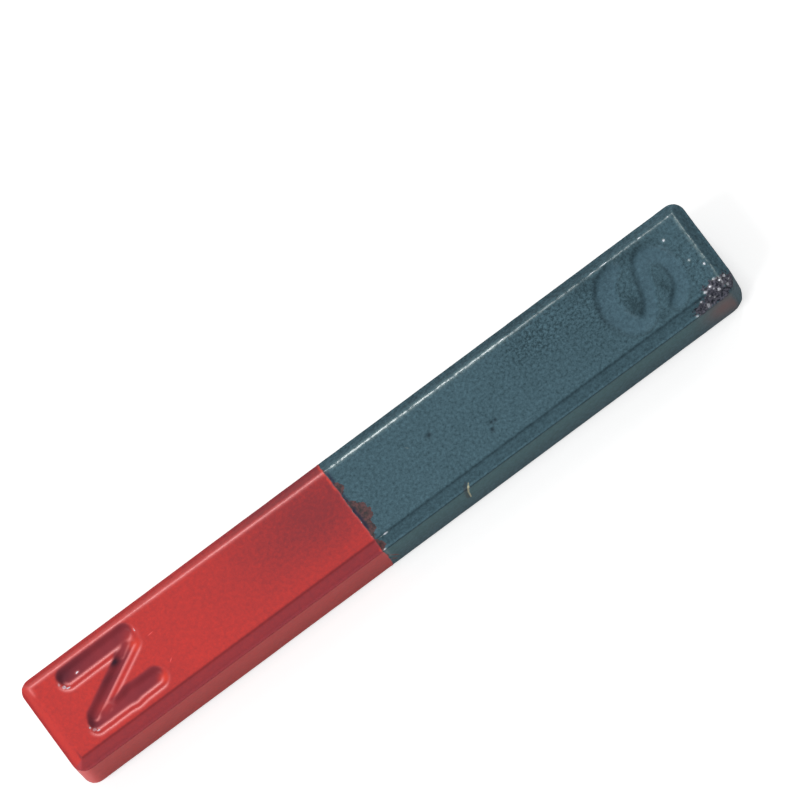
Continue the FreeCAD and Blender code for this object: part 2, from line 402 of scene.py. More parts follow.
# Scratches in each coat: start, end, half width and taper.
RED_SCRATCHES = (
    ((-19.5, 1.12, 3.0), (-18.6, 1.2, 3.0), 0.05, 1.6),
    ((-19.2, -1.45, 3.0), (-18.75, -1.1, 3.0), 0.05, 1.6),
)
BLUE_SCRATCHES = (
    ((5.26, -3.72, 2.4), (5.12, -3.86, 2.31), 0.06, 0.4),
    ((5.12, -3.86, 2.31), (5.02, -4.0, 2.22), 0.075, 0),
    ((5.02, -4.0, 2.22), (4.9, -4.0, 1.4), 0.075, 0),
    ((4.9, -4.0, 1.4), (4.85, -4.0, 0.0), 0.065, 0.4),
)
FAINT_SCRATCHES = (((3.1, 1.08, 3.0), (3.42, 0.66, 3.0), 0.045, 1.4),)
RUST_SCRATCHES = (
    ((-2.18, -4.0, 0.4), (-1.66, -4.0, -1.0), 0.09, 1.2),
    ((-2.25, -4.0, -0.6), (-1.9, -4.0, -1.5), 0.08, 1.2),
    ((-2.15, -3.45, 2.68), (-2.0, -3.7, 2.4), 0.12, 0.8),
)

# How much wider the shade beside a scratch is than the scratch, and how far aside it lies.
SHADE_WIDENING = 2.4
SHADE_ASIDE = (-0.16, 0.08, 0.12)


def smooth_step(share):
    """Zero up to zero and one from one on, eased between."""
    share = np.clip(share, 0, 1)
    return share * share * (3 - 2 * share)


def rise(value, start, end):
    """Zero at the start and one at the end, eased between, whichever of them is higher."""
    return smooth_step((value - start) / (end - start))


def hump(value, middle, reach):
    """One in the middle, falling softly to zero on both sides."""
    return np.exp(-(((value - middle) / reach) ** 2))


def between(low, high, share):
    """The value at a share of the way from low to high."""
    return low + (high - low) * share


def smooth_min(first, second, ease):
    """The smaller of two lengths, eased where they are nearly equal."""
    share = np.maximum(ease - np.abs(first - second), 0) / ease
    return np.minimum(first, second) - share * share * ease / 4


def eased_ramp(distance, start, ease):
    """Zero before start and the distance past it after, eased over the given half width."""
    past = distance - start
    eased = (past + ease) ** 2 / (4 * ease)
    return np.where(past > ease, past, np.where(past < -ease, 0, eased))


def bump_at(points, x, y, reach_x, reach_y):
    """A soft round bump of height 1 about a place given in millimetres."""
    return hump(points[:, 0] / MM, x, reach_x) * hump(points[:, 1] / MM, y, reach_y)


def areas_at(points, areas):
    """The sum of soft bumps, each given by its centre, its reach both ways and its amount."""
    return sum(amount * bump_at(points, *area) for *area, amount in areas)


def highest_area(points, areas):
    """The highest of soft bumps, each given by its centre and its reach both ways."""
    return np.max([bump_at(points, *area) for area in areas], axis=0)


def stretches_at(across, stretches):
    """The amount of the stretch that each place across the bar lies in, with soft ends."""
    total = 0
    for low, high, amount in stretches:
        inside = rise(across, low, low + STRETCH_EASE) * rise(across, high, high - STRETCH_EASE)
        total = total + amount * inside
    return total


def noise_at(points, wavelength, seed):
    """Smooth noise from about -1 to 1 at each point, with bumps a wavelength apart, in millimetres."""
    moved = points / (wavelength * MM) + np.array((7.13, 3.71, 5.37)) * seed
    return np.array([noise.noise(place) for place in moved])


def waves_at(points, waves):
    """The sum of noises, each given by its wavelength in millimetres, its height and its seed."""
    return sum(height * noise_at(points, wavelength, seed) for wavelength, height, seed in waves)


def inside_strokes(places, strokes, ease):
    """How far each place lies inside the edge of the strokes, below zero outside."""
    deepest = None
    for start, end in strokes:
        start, end = np.array(start) * MM, np.array(end) * MM
        along = (end - start)[:2]
        share = np.clip((places - start[:2]) @ along / (along @ along), 0, 1)
        distance = np.linalg.norm(places - start[:2] - share[:, None] * along, axis=1)
        inside = start[2] + (end[2] - start[2]) * share - distance
        deepest = inside if deepest is None else -smooth_min(-deepest, -inside, ease)
    return deepest


def smooth_strokes(points, steps):
    """Short straight strokes along a smooth line through the points."""
    padded = np.array([points[0], *points, points[-1]])
    line = []
    for before, start, end, after in zip(padded, padded[1:], padded[2:], padded[3:]):
        for share in np.arange(steps) / steps:
            straight = 2 * start + (end - before) * share
            bend = (2 * before - 5 * start + 4 * end - after) * share**2
            twist = (3 * start - before - 3 * end + after) * share**3
            line.append((straight + bend + twist) / 2)
    line.append(padded[-1])
    return list(zip(line, line[1:]))


def inside_north(places):
    """How far each place lies inside the N's edge."""
    return inside_strokes(places, NORTH_STROKES, NORTH_EASE * MM)


def inside_south(places):
    """How far each place lies inside the S's edge."""
    return inside_strokes(places, smooth_strokes(SOUTH_POINTS, SOUTH_STEPS), SOUTH_EASE * MM)


def letter_depth(letters, places):
    """Depth of the letters' grooves at each place."""
    north = letters.north_depth * smooth_step(inside_north(places) / letters.north_wall)
    south = letters.south_depth * smooth_step(inside_south(places) / letters.south_wall)
    return north + south


def inset_from_sides(shape, places):
    """Distance of each place from the nearest side of the bar, eased along the corners' mitres."""
    from_end = BAR_SIZE.x / 2 - np.abs(places[:, 0])
    from_side = BAR_SIZE.y / 2 - np.abs(places[:, 1])
    return smooth_min(from_end, from_side, shape.mitre_ease)


def border_run(shape, places):
    """Width of the sloping border, which narrows along the high side towards the north end."""
    on_high_side = rise(places[:, 1] / MM, *NARROWING_ACROSS)
    narrowing = between(*NARROWING_SHARES, rise(places[:, 0] / MM, *NARROWING_ALONG))
    return shape.bevel_run * (1 - on_high_side * narrowing)


def face_height(shape, places, from_wall):
    """Height of the pressed face above the bar's middle plane, without its letter."""
    inset = inset_from_sides(shape, places)
    foot = shape.land_width
    run = border_run(shape, places)
    crown = foot + run
    slope = shape.bevel_drop / run
    rise = eased_ramp(inset, foot, shape.foot_ease) - eased_ramp(inset, crown, shape.edge_ease)
    gap = np.clip(shape.rim_radius - from_wall, 0, shape.rim_radius)
    rim_fall = shape.rim_radius - np.sqrt(shape.rim_radius**2 - gap**2)
    return BAR_SIZE.z / 2 - shape.bevel_drop + slope * rise - rim_fall


# Steps of the grid, in millimetres: it ends this far from the sides, where the rings take over.
GRID_INSET = 1.1
COARSE_STEP = 0.15
CROSSWAYS_STEP = 0.085
STEP_GROWTH = 0.12
TRACK_POINTS = 4001
FINE_ZONES = (
    (-26.8, -19.4, 0.085),
    (-3.0, -1.0, 0.05),
    (4.7, 5.2, 0.07),
    (8.7, 9.6, 0.08),
    (19.6, 26.4, 0.095),
    (26.4, 28.2, 0.08),
)
CORNER_STEPS = 12

# How far in from the sides the rings of each face lie, and how far down the wall those between them.
UPPER_INSETS = (
    1.06, 1.02, 0.97, 0.93, 0.89, 0.85, 0.81, 0.77, 0.73, 0.68, 0.62, 0.55, 0.47, 0.39, 0.31, 0.25, 0.22,
    0.2, 0.18, 0.15, 0.11, 0.07, 0.042, 0.022, 0.008, 0,
)
LOWER_INSETS = (0, 0.012, 0.035, 0.07, 0.14, 0.2, 0.25, 0.4, 0.55, 0.7, 0.78, 0.85, 0.92, 1.0)
UPPER_WALL_SHARES = (0.05, 0.15, 0.28, 0.43, 0.6, 0.78, 0.95)
LOWER_WALL_SHARES = (0.05, 0.28, 0.52, 0.76, 0.94)


def grid_lines(low, high, coarse, zones=()):
    """Grid lines from low to high: coarse apart, and closer in the zones of start, end and step."""
    track = np.linspace(low, high, TRACK_POINTS)
    step = np.full_like(track, coarse)
    for start, end, fine in zones:
        gap = np.maximum(np.maximum(start - track, track - end), 0)
        step = np.minimum(step, fine + STEP_GROWTH * gap)
    spans = (1 / step[1:] + 1 / step[:-1]) / 2 * np.diff(track)
    count = np.concatenate(([0], np.cumsum(spans)))
    intervals = 2 * math.ceil(count[-1] / 2)
    return np.interp(np.linspace(0, count[-1], intervals + 1), count, track)


class RingPlan:
    """Where the rings round one side of the bar run, seen from above.

    A ring starts at the corner at -X -Y and runs anticlockwise: the points of a side, then those
    inside the next corner. Each point lies between one on the bar's outline and one on the rim of
    the grid.
    """

    def __init__(self, columns, rows, radii, corner_steps):
        self.columns, self.rows = columns, rows
        half = np.array((BAR_SIZE.x, BAR_SIZE.y)) / 2
        reach = np.array((columns[-1], rows[-1]))
        corners = np.array(((-1, -1), (1, -1), (1, 1), (-1, 1)))
        outer, inner, cells = [], [], []
        for side, start in enumerate(corners):
            following = (side + 1) % 4
            end = corners[following]
            axis = side % 2
            lines = (columns, rows)[axis]
            low, high = sorted((side, following), key=lambda corner: corners[corner][axis])
            middle = (SEAM_X * MM, 0)[axis]
            on_grid = (-reach[axis], middle, reach[axis])
            on_bar = (radii[low] - half[axis], middle, half[axis] - radii[high])
            stretched = np.interp(lines, on_grid, on_bar)
            first_cell = [0 if sign < 0 else len(track) - 1 for sign, track in zip(start, (columns, rows))]
            for number in np.arange(len(lines))[:: end[axis]]:
                place, edge, cell = start * reach, start * half, list(first_cell)
                place[axis], edge[axis], cell[axis] = lines[number], stretched[number], int(number)
                inner.append(place)
                outer.append(edge)
                cells.append(tuple(cell))
            radius = radii[following]
            centre = end * (half - radius)
            for step in range(1, corner_steps):
                turn = math.radians(90) * (side - 1 + step / corner_steps)
                outer.append(centre + radius * np.array((math.cos(turn), math.sin(turn))))
                inner.append(end * reach)
                cells.append(cells[-1])
        self.outer, self.inner, self.cells = np.array(outer), np.array(inner), cells
        self.width = np.linalg.norm(self.outer - self.inner, axis=1)

    def ring(self, inset):
        """The ring at an inset in millimetres, and its points' distances from the wall."""
        share = inset / GRID_INSET
        return self.outer + (self.inner - self.outer) * share, self.width * share

    def grid(self):
        """The places of the grid inside the rings, row by row."""
        along, across = np.meshgrid(self.columns, self.rows)
        return np.column_stack((along.ravel(), across.ravel()))

    def rim(self, first):
        """The grid's point at each point of the innermost ring, where first is the grid's first."""
        return [first + row * len(self.columns) + column for column, row in self.cells]


class Skin:
    """Points and faces of a closed skin."""

    def __init__(self):
        self.points, self.faces = [], []

    def add(self, places, heights):
        """Adds points and returns their numbers."""
        first = len(self.points)
        self.points.extend(np.column_stack((places, np.broadcast_to(heights, len(places)))).tolist())
        return list(range(first, len(self.points)))

    def put(self, face):
        """Adds a face without its repeated points."""
        kept = [point for number, point in enumerate(face) if point != face[number - 1]]
        if len(kept) > 2:
            self.faces.append(kept)

    def bridge(self, higher, lower):
        """Faces from a ring down to one of equal count."""
        for here in range(len(higher)):
            self.put([higher[here - 1], lower[here - 1], lower[here], higher[here]])

    def halve(self, higher, lower):
        """Faces from a ring down to one with half as many points."""
        for here in range(0, len(higher), 2):
            start, middle, end = higher[here], higher[here + 1], higher[(here + 2) % len(higher)]
            near, far = lower[here // 2], lower[(here // 2 + 1) % len(lower)]
            self.put([start, near, middle])
            self.put([middle, near, far])
            self.put([middle, far, end])

    def fill_grid(self, numbers, width, upwards):
        """Faces of a grid whose points are numbered row by row."""
        for row in range(0, len(numbers) - width, width):
            for number in range(row, row + width - 1):
                near, far = numbers[number], numbers[number + width]
                face = [near, near + 1, far + 1, far]
                self.put(face if upwards else face[::-1])


def bar_skin(settings):
    """The whole bar as points about its middle and faces, before the shallow relief."""
    shape, letters = settings.shape, settings.letters
    reach_x, reach_y = (size / 2 / MM - GRID_INSET for size in (BAR_SIZE.x, BAR_SIZE.y))
    north_columns = grid_lines(-reach_x, SEAM_X, COARSE_STEP, FINE_ZONES)
    south_columns = grid_lines(SEAM_X, reach_x, COARSE_STEP, FINE_ZONES)
    columns = np.concatenate((north_columns, south_columns[1:])) * MM
    rows = grid_lines(-reach_y, reach_y, CROSSWAYS_STEP) * MM
    radii = (shape.corner_radius, shape.worn_corner_radius, shape.corner_radius, shape.corner_radius)
    upper = RingPlan(columns, rows, radii, CORNER_STEPS)
    lower = RingPlan(columns[::2], rows[::2], radii, CORNER_STEPS // 2)
    skin = Skin()

    def upper_height(places, from_wall):
        return face_height(shape, places, from_wall) - letter_depth(letters, places)

    grid = upper.grid()
    numbers = skin.add(grid, upper_height(grid, BAR_SIZE.y))
    skin.fill_grid(numbers, len(columns), upwards=True)
    ring = upper.rim(numbers[0])
    for inset in UPPER_INSETS:
        places, from_wall = upper.ring(inset)
        heights = upper_height(places, from_wall)
        next_ring = skin.add(places, heights)
        skin.bridge(ring, next_ring)
        ring = next_ring
    for share in UPPER_WALL_SHARES:
        next_ring = skin.add(places, heights * (1 - share))
        skin.bridge(ring, next_ring)
        ring = next_ring

    places, from_wall = lower.ring(0)
    heights = -face_height(shape, places, from_wall)
    next_ring = skin.add(places, heights * LOWER_WALL_SHARES[0])
    skin.halve(ring, next_ring)
    ring = next_ring
    for share in LOWER_WALL_SHARES[1:]:
        next_ring = skin.add(places, heights * share)
        skin.bridge(ring, next_ring)
        ring = next_ring
    for inset in LOWER_INSETS:
        places, from_wall = lower.ring(inset)
        next_ring = skin.add(places, -face_height(shape, places, from_wall))
        skin.bridge(ring, next_ring)
        ring = next_ring
    grid = lower.grid()
    numbers = skin.add(grid, -face_height(shape, grid, BAR_SIZE.y))
    skin.bridge(ring, lower.rim(numbers[0]))
    skin.fill_grid(numbers, len(lower.columns), upwards=False)
    return np.array(skin.points), skin.faces


def seam_shift(points):
    """How far the seam between the coats wanders along the bar, by place across it and round it."""
    across = points * (0, 1, 1)
    slant = -points[:, 1] / BAR_SIZE.y * SEAM_SLANT * MM
    waves = sum(height * MM * noise_at(across, wavelength, seed) for wavelength, height, seed in SEAM_WAVES)
    return slant + waves


class PaintedPoints:
    """The points of the plain skin, and where they lie on the bar, in millimetres about its middle."""

    def __init__(self, shape, points, past_seam):
        self.points, self.places = points, points[:, :2]
        self.along, self.across, self.height = points.T / MM
        self.past_seam = past_seam / MM
        self.red = past_seam < 0
        self.above = self.height > 0
        self.inset = inset_from_sides(shape, self.places) / MM
        self.crown = (shape.land_width + border_run(shape, self.places)) / MM
        self.on_low_wall = rise(self.across, *LOW_WALL) * rise(self.height, *WALL_TOP)

    def seam_band(self, reach, stretches):
        """A band along the seam on the upper side, over stretches across the bar."""
        return hump(self.past_seam, *reach) * stretches_at(self.across, stretches) * self.above


def edge_masks(spots):
    """Masks along the broad faces' edges and lands: a darker edge, and glossiness with its painted highlight.
    """
    past_crown = spots.inset - spots.crown
    past_end_crown = BAR_SIZE.x / 2 / MM - spots.along - spots.crown
    thin = hump(past_crown, *CROWN_DARKENING) * spots.above
    thin = thin * between(DARKENING_ON_HIGH_SIDE, 1, rise(spots.across, *LOW_SIDE))
    red_land = DARKENING_ON_RED_LAND * hump(spots.inset, *RED_LAND)
    land = np.where(spots.red, red_land, hump(spots.inset, *BLUE_LAND))
    patchy = smooth_step(PATCH_LEVEL + waves_at(spots.points, PATCH_WAVES))
    gloss = hump(past_crown, *CROWN_GLOSS) * rise(spots.across, *HIGH_SIDE)
    gloss = gloss * between(1, GLOSS_PAST_FADING, rise(spots.along, *GLOSS_FADING))
    gloss = gloss * between(np.where(spots.red, RED_GLOSS_IN_BREAKS, BLUE_GLOSS_IN_BREAKS), 1, patchy)
    end_gloss = hump(past_end_crown, *END_GLOSS) * (spots.inset > END_GLOSS_INSET)
    end_gloss = end_gloss * between(*END_GLOSS_RANGE, patchy)
    return {
        "thin": np.maximum(thin, land * rise(spots.height, *LAND_LEVEL)),
        "gloss": np.maximum(gloss, end_gloss) * spots.above,
    }


def seam_masks(spots):
    """Masks at the seam: bare ferrite, the gap between the coats, and the red coat's lip with its painted
    highlights.
    """
    widths = np.where(spots.above, np.interp(spots.across, *zip(*BARE_WIDTHS)), HIDDEN_BARE_WIDTH)
    widths = widths + waves_at(spots.points, BARE_WAVES)
    broken = smooth_step(BREAK_LEVEL + waves_at(spots.points, BREAK_WAVES))
    return {
        "bare": rise(spots.past_seam, widths + BARE_EASE, widths - BARE_EASE) * ~spots.red,
        "seam_gap": spots.seam_band(SEAM_GAP, SHADED_STRETCHES),
        "gloss": LIP_GLOSS_AMOUNT * hump(spots.past_seam, *LIP_GLOSS) * spots.above,
        "glint": spots.seam_band(LIP_SHINE, SHINING_STRETCHES) * broken,
        "bright": spots.seam_band(LIP_LIT, LIT_LIP_STRETCHES) * broken,
    }


def north_masks(spots, letters):
    """Masks of the N: gathered paint with painted shade, darkest in corners, glossiness and painted highlight
    on walls facing the low side, and painted highlight at two stroke ends.
    """
    inside = inside_north(spots.places) / MM
    inside_pool = inside_north(spots.places - np.array(POOL_SHIFT) * MM) / MM
    gain = inside_north(spots.places + np.array(NORTH_STEP) * MM) / MM - inside
    clear = np.clip(areas_at(spots.points, CLEAR_PLACES), 0, 1)
    pooled = rise(inside_pool, *POOL_EDGE) * (1 - clear) * spots.above
    deep = PLAIN_POOL + areas_at(spots.points, POOLS) + waves_at(spots.points, POOL_WAVES)
    wall_share = inside * MM / letters.north_wall
    shoulders = hump(wall_share, *NORTH_HEAD) + hump(wall_share, *NORTH_FOOT)
    shoulders = shoulders * rise(gain, *FACING_LOW_SIDE)
    shoulders = shoulders * between(GLOSS_AT_NORTH_ENDS, 1, rise(spots.along, *NORTH_ENDS))
    return {
        "pooled": pooled,
        "deep": deep * pooled,
        "gloss": shoulders * spots.above,
        "bright": areas_at(spots.points, LIT_STROKE_ENDS) * rise(inside, *END_LIGHT) * spots.above,
    }


def south_masks(spots, letters):
    """Masks of the S: its floor, and painted shade at its edge, darkest where the wall turns from the light.
    """
    inside = inside_south(spots.places)
    gain = (inside_south(spots.places + np.array(SOUTH_STEP) * MM) - inside) / MM
    wall_share = inside / letters.south_wall
    shaded = hump(wall_share, *SOUTH_SHADE) * rise(gain, *FACING_SHADE)
    outline = OUTLINE_AMOUNT * hump(wall_share, *SOUTH_OUTLINE)
    return {
        "letter": smooth_step(wall_share) * spots.above,
        "letter_edge": np.maximum(shaded, outline) * spots.above,
    }


def shade_masks(spots):
    """Masks of the coats' darker tone and painted shade and light, on the faces, the low side's border and
    wall, and a corner.
    """
    red_darkness = PLAIN_RED_DARKNESS + areas_at(spots.points, RED_DULL_AND_SHADE)
    blue_darkness = PLAIN_BLUE_DARKNESS + areas_at(spots.points, BLUE_DULL_AND_SHADE)
    past_low_crown = BAR_SIZE.y / 2 / MM + spots.across - spots.crown
    low_border = rise(past_low_crown, *LOW_BORDER_SHADE)
    return {
        "dull": np.where(spots.red, red_darkness, blue_darkness),
        "grainy": areas_at(spots.points, GRAINY) * spots.above,
        "low_border": low_border * (1 - spots.on_low_wall),
        "low_wall": spots.on_low_wall * rise(spots.height, *WALL_LIGHT),
        "north_corner": bump_at(spots.points, *LIT_NORTH_CORNER) * rise(spots.height, *CORNER_TOP),
    }


def wear_masks(spots):
    """Masks of the worn corner, the rubbed wall, painted shade in the pits, and painted highlights as specks.
    """
    painted_glints = np.max([amount * bump_at(spots.points, *area) for *area, amount in PAINTED_GLINTS], axis=0)
    pits = [(x, y, radius, radius) for x, y, radius, _ in PITS]
    return {
        "worn": highest_area(spots.points, WORN_AREAS) * rise(spots.height, *WORN_LEVEL),
        "rubbed": highest_area(spots.points[:, (0, 2)], RUBBED_AREAS) * spots.on_low_wall,
        "pit": highest_area(spots.points, pits) * spots.above,
        "glint": painted_glints * spots.above,
        "gloss": painted_glints * spots.above,
    }


def film_masks(letters, spots):
    """How bare, glossy, dark-edged and so on the paint is at each point, from 0 to 1, by name, painted light
    and shade among them.
    """
    masks = {}
    parts = (edge_masks(spots), seam_masks(spots), north_masks(spots, letters))
    parts += (south_masks(spots, letters), shade_masks(spots), wear_masks(spots))
    for part in parts:
        for name, values in part.items():
            masks[name] = np.maximum(masks.get(name, 0), np.clip(values, 0, 1))
    return masks


def relief_depth(film, spots, masks):
    """How far each point of the painted surface lies under the plain skin."""
    points = spots.points
    lip = hump(spots.past_seam, *LIP_HEIGHT) * (LIP_LEVEL + waves_at(points, LIP_WAVES))
    missing = masks["bare"] * (1 + waves_at(points, BARE_RELIEF)) + masks["seam_gap"]
    depth = np.where(spots.red, waves_at(points, RED_PEEL), waves_at(points, BLUE_GRAIN))
    chipped = smooth_step(CHIP_STEEPNESS * masks["worn"])
    depth = depth + chipped * (CHIP_LEVEL + waves_at(points, CHIP_WAVES))
    for x, y, radius, deep in PITS + PIMPLES:
        pit = smooth_step(PIT_STEEPNESS * bump_at(points, x, y, radius, radius))
        depth = depth + spots.above * deep * pit
    return np.maximum(film * (1 - lip + missing) + depth * MM, 0)


def bar_mesh(settings):
    """The bar's finished mesh, in place, with the masks of its paint as attributes."""
    points, faces = bar_skin(settings)
    seam = SEAM_X * MM
    north_faces = [sum(points[number][0] for number in face) / len(face) < seam for face in faces]
    shift = seam_shift(points)
    fade = rise(np.abs(points[:, 0] - seam), SEAM_REACH * MM, 0)
    past_seam = points[:, 0] - seam
    points[:, 0] += shift * fade
    past_seam = np.where(fade > 0, points[:, 0] - seam - shift, past_seam)

    mesh = bpy.data.meshes.new(NODE + "_body")
    mesh.from_pydata(points.tolist(), [], faces)
    normals = np.zeros(len(points) * 3, np.float32)
    mesh.vertex_normals.foreach_get("vector", normals)
    spots = PaintedPoints(settings.shape, points, past_seam)
    masks = film_masks(settings.letters, spots)
    depth = relief_depth(settings.shape.film, spots, masks)
    points = points - normals.reshape(-1, 3) * depth[:, None] + np.array(BAR_CENTRE)
    mesh.vertices.foreach_set("co", points.astype(np.float32).ravel())
    for name, values in masks.items():
        attribute = mesh.attributes.new(name, "FLOAT", "POINT")
        attribute.data.foreach_set("value", values.astype(np.float32))
    mesh.polygons.foreach_set("material_index", [0 if north else 1 for north in north_faces])
    mesh.polygons.foreach_set("use_smooth", [True] * len(faces))
    mesh.update()
    if mesh.validate():
        raise RuntimeError("the bar's mesh has faulty faces")
    return mesh


class Graph:
    """Adds linked nodes to a node tree."""

    def __init__(self, tree):
        self.tree = tree

    def node(self, kind, inputs=(), **settings):
        """A node with its settings, fed by values or by other nodes' sockets."""
        made = self.tree.nodes.new(kind)
        for name, value in settings.items():
            setattr(made, name, value)
        for key, value in dict(inputs).items():
            if isinstance(value, NodeSocket):
                self.tree.links.new(value, made.inputs[key])
            else:
                made.inputs[key].default_value = value
        return made

    def math(self, operation, *values, clamp=False):
        """The result of a sum or other operation on numbers."""
        made = self.node("ShaderNodeMath", enumerate(values), operation=operation, use_clamp=clamp)
        return made.outputs[0]

    def vector(self, operation, *values, result="Vector"):
        """The result of an operation on vectors: a vector, or a number where the result is Value."""
        made = self.node("ShaderNodeVectorMath", enumerate(values), operation=operation)
        return made.outputs[result]

    def mix(self, share, first, second):
        """A colour between two."""
        inputs = {0: share, 6: first, 7: second}
        return self.node("ShaderNodeMix", inputs, data_type="RGBA").outputs[2]

    def blend(self, share, first, second):
        """A number between two."""
        inputs = {0: share, 2: first, 3: second}
        return self.node("ShaderNodeMix", inputs, data_type="FLOAT").outputs[0]

    def ramp(self, value, low, high, to_low=0.0, to_high=1.0):
        """A value brought from one range to another and held there, with soft ends."""
        inputs = {"Value": value, "From Min": low, "From Max": high, "To Min": to_low, "To Max": to_high}
        return self.node("ShaderNodeMapRange", inputs, interpolation_type="SMOOTHSTEP").outputs["Result"]

    def noise(self, place, scale, detail=2.0, roughness=0.5):
        """Cloudy noise from 0 to 1."""
        inputs = {"Vector": place, "Scale": scale, "Detail": detail, "Roughness": roughness}
        return self.node("ShaderNodeTexNoise", inputs).outputs["Fac"]

    def attribute(self, name):
        """A mask kept in the mesh."""
        return self.node("ShaderNodeAttribute", attribute_name=name).outputs["Fac"]

    def place(self):
        """The place on the bar, in metres."""
        return self.node("ShaderNodeTexCoord").outputs["Object"]


SOCKET_KINDS = {float: "NodeSocketFloat", tuple: "NodeSocketColor", Vector: "NodeSocketVector"}


def effect(name, inputs, outputs):
    """A new node group with its named inputs and outputs, as a graph with both ends."""
    tree = bpy.data.node_groups.new(name, "ShaderNodeTree")
    for label, default in inputs.items():
        socket = tree.interface.new_socket(label, in_out="INPUT", socket_type=SOCKET_KINDS[type(default)])
        socket.default_value = default
    for label, kind in outputs.items():
        tree.interface.new_socket(label, in_out="OUTPUT", socket_type=SOCKET_KINDS[kind])
    graph = Graph(tree)
    return graph, graph.node("NodeGroupInput").outputs


def put_effect(graph, name, inputs):
    """An effect placed in a material with its own values."""
    return graph.node("ShaderNodeGroup", inputs, node_tree=bpy.data.node_groups[name]).outputs


def build_ragged_edge():
    """Effect: a soft mask broken up by noise into one with a ragged edge."""
    defaults = {"Mask": 0.0, "Place": Vector((0, 0, 0)), "Chip Size": 0.2 * MM, "Raggedness": 0.5}
    graph, inputs = effect("ragged_edge", defaults, {"Mask": float})
    scale = graph.math("DIVIDE", 1.0, inputs["Chip Size"])
    chips = graph.math("SUBTRACT", graph.noise(inputs["Place"], scale, 3.0, 0.6), 0.5)
    broken = graph.math("ADD", inputs["Mask"], graph.math("MULTIPLY", chips, inputs["Raggedness"]))
    graph.node("NodeGroupOutput", {"Mask": graph.ramp(broken, 0.42, 0.58)})


def build_cloudy_paint():
    """Effect: a coat's colour, drifting between fresh and darker as the given darkness and clouds say, with a
    fine mottle and darker specks.
    """
    defaults = {
        "Fresh": (0.5, 0.5, 0.5, 1.0), "Dull": (0.3, 0.3, 0.3, 1.0), "Speck": (0.1, 0.1, 0.1, 1.0),
        "Place": Vector((0, 0, 0)), "Dullness": 0.5, "Cloud Size": 3.0 * MM, "Clouds": 0.5,
        "Mottle Size": 0.3 * MM, "Mottle": 0.2, "Speck Size": 0.2 * MM, "Speck Share": 0.3,
    }
    graph, inputs = effect("cloudy_paint", defaults, {"Color": tuple, "Mottle": float})

    def centred(size, detail, roughness):
        cloud = graph.noise(inputs["Place"], graph.math("DIVIDE", 1.0, inputs[size]), detail, roughness)
        return graph.math("SUBTRACT", cloud, 0.5)

    mottle = centred("Mottle Size", 3.0, 0.75)
    drift = graph.math("MULTIPLY_ADD", centred("Cloud Size", 3.0, 0.55), inputs["Clouds"], inputs["Dullness"])
    drift = graph.math("ADD", drift, graph.math("MULTIPLY", mottle, inputs["Mottle"]))
    coat = graph.mix(graph.math("ADD", drift, 0.0, clamp=True), inputs["Fresh"], inputs["Dull"])
    specks = graph.ramp(centred("Speck Size", 2.0, 0.7), 0.08, 0.24)
    share = graph.math("MULTIPLY", specks, inputs["Speck Share"])
    graph.node("NodeGroupOutput", {"Color": graph.mix(share, coat, inputs["Speck"]), "Mottle": mottle})


def build_bare_ferrite():
    """Effect: sintered ferrite where the paint is off, laid over the coat by a mask."""
    defaults = {
        "Coat": (0.5, 0.5, 0.5, 1.0), "Coat Roughness": 0.3, "Ferrite": (0.1, 0.06, 0.05, 1.0),
        "Hollows": (0.02, 0.02, 0.02, 1.0), "Place": Vector((0, 0, 0)), "Grain Size": 0.15 * MM, "Mask": 0.0,
    }
    outputs = {"Color": tuple, "Roughness": float, "Height": float}
    graph, inputs = effect("bare_ferrite", defaults, outputs)
    grain = graph.noise(inputs["Place"], graph.math("DIVIDE", 1.0, inputs["Grain Size"]), 3.0, 0.65)
    bare = graph.mix(graph.ramp(grain, 0.35, 0.65), inputs["Hollows"], inputs["Ferrite"])
    rough = graph.math("MULTIPLY_ADD", grain, 0.4, 0.35)
    graph.node(
        "NodeGroupOutput",
        {
            "Color": graph.mix(inputs["Mask"], inputs["Coat"], bare),
            "Roughness": graph.blend(inputs["Mask"], inputs["Coat Roughness"], rough),
            "Height": graph.math("MULTIPLY", inputs["Mask"], graph.math("SUBTRACT", grain, 1.0)),
        },
    )


def build_scratch():
    """Effect: a straight scratch between two places, as a mask."""
    defaults = {
        "Place": Vector((0, 0, 0)), "Start": Vector((0, 0, 0)), "End": Vector((1, 0, 0)),
        "Half Width": 0.05 * MM, "Taper": 1.4,
    }
    graph, inputs = effect("scratch", defaults, {"Mask": float})
    along = graph.vector("SUBTRACT", inputs["End"], inputs["Start"])
    out = graph.vector("SUBTRACT", inputs["Place"], inputs["Start"])

    def dot(first, second):
        return graph.vector("DOT_PRODUCT", first, second, result="Value")

    share = graph.math("DIVIDE", dot(out, along), dot(along, along), clamp=True)
    gap = graph.vector("SUBTRACT", out, graph.vector("MULTIPLY", along, share))
    distance = graph.vector("LENGTH", gap, result="Value")
    from_middle = graph.math("ABSOLUTE", graph.math("SUBTRACT", share, 0.5))
    narrowing = graph.math("SUBTRACT", 1.0, graph.math("MULTIPLY", from_middle, inputs["Taper"]))
    reach = graph.math("MULTIPLY", inputs["Half Width"], narrowing)
    graph.node("NodeGroupOutput", {"Mask": graph.ramp(graph.math("DIVIDE", distance, reach), 1.4, 0.6)})


def rgba(value):
    """A setting's colour with full cover."""
    return (*value, 1.0)


def at(*place):
    """A place on the bar given in millimetres about its middle."""
    return Vector(place) * MM + BAR_CENTRE


def scratches(graph, place, lines, widening=1.0, aside=(0, 0, 0)):
    """All the given scratches as one mask, widened and moved aside where their shade is wanted."""
    mask = 0.0
    for start, end, half_width, taper in lines:
        inputs = {
            "Place": place, "Start": at(*start) + Vector(aside) * MM, "End": at(*end) + Vector(aside) * MM,
            "Half Width": half_width * widening * MM, "Taper": taper,
        }
        mask = graph.math("MAXIMUM", mask, put_effect(graph, "scratch", inputs)["Mask"])
    return mask


